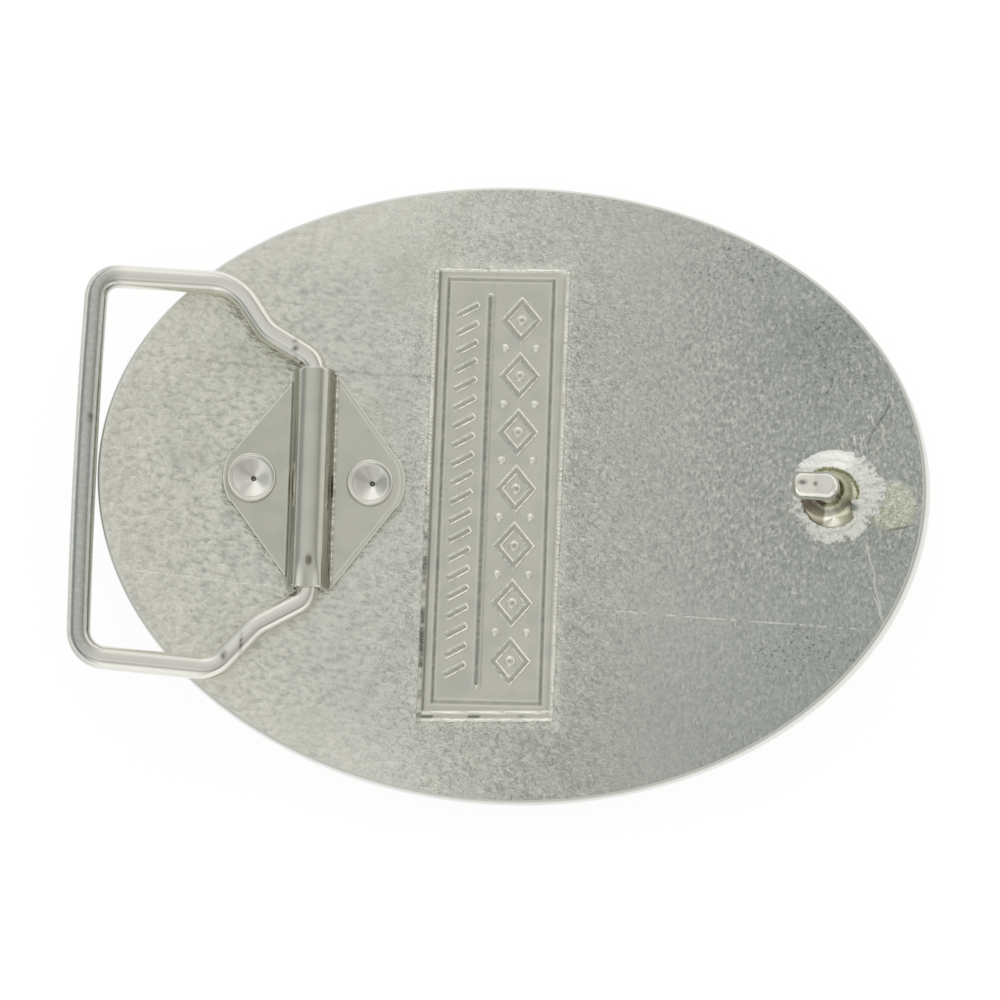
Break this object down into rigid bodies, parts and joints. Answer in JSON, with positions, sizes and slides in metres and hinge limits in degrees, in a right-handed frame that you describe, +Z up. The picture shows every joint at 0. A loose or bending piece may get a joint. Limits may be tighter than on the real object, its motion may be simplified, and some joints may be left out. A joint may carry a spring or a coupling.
{
  "type": "western belt buckle",
  "caption": "Bowed oval western belt buckle lying on its front, with a wire bail hinged in a riveted bracket and a soldered hook on its back.",
  "frame": {"origin": "under the middle of the buckle's length and width, on the surface that it lies on", "axes": "+X from the bail to the hook, +Y across the buckle, +Z up, out of the buckle's back"},
  "size_m": [0.0916, 0.0684, 0.0141],
  "materials": {
    "cast_nickel": "rough cast and nickel plated",
    "satin_nickel": "satin",
    "polished_nickel": "polished"
  },
  "bodies": {
    "buckle": {"plate": "cast_nickel", "bracket": "satin_nickel", "rivet_left": "polished_nickel", "rivet_right": "polished_nickel"},
    "bail": {"bail": "polished_nickel"}
  },
  "joints": [
    {"name": "bail_hinge", "type": "hinge", "parent": "buckle", "child": "bail", "pos_m": [-0.02063, -0.0003, 0.00576], "axis": [-0.019, 0.9998, 0.0028], "range_deg": [0, 170]}
  ]
}
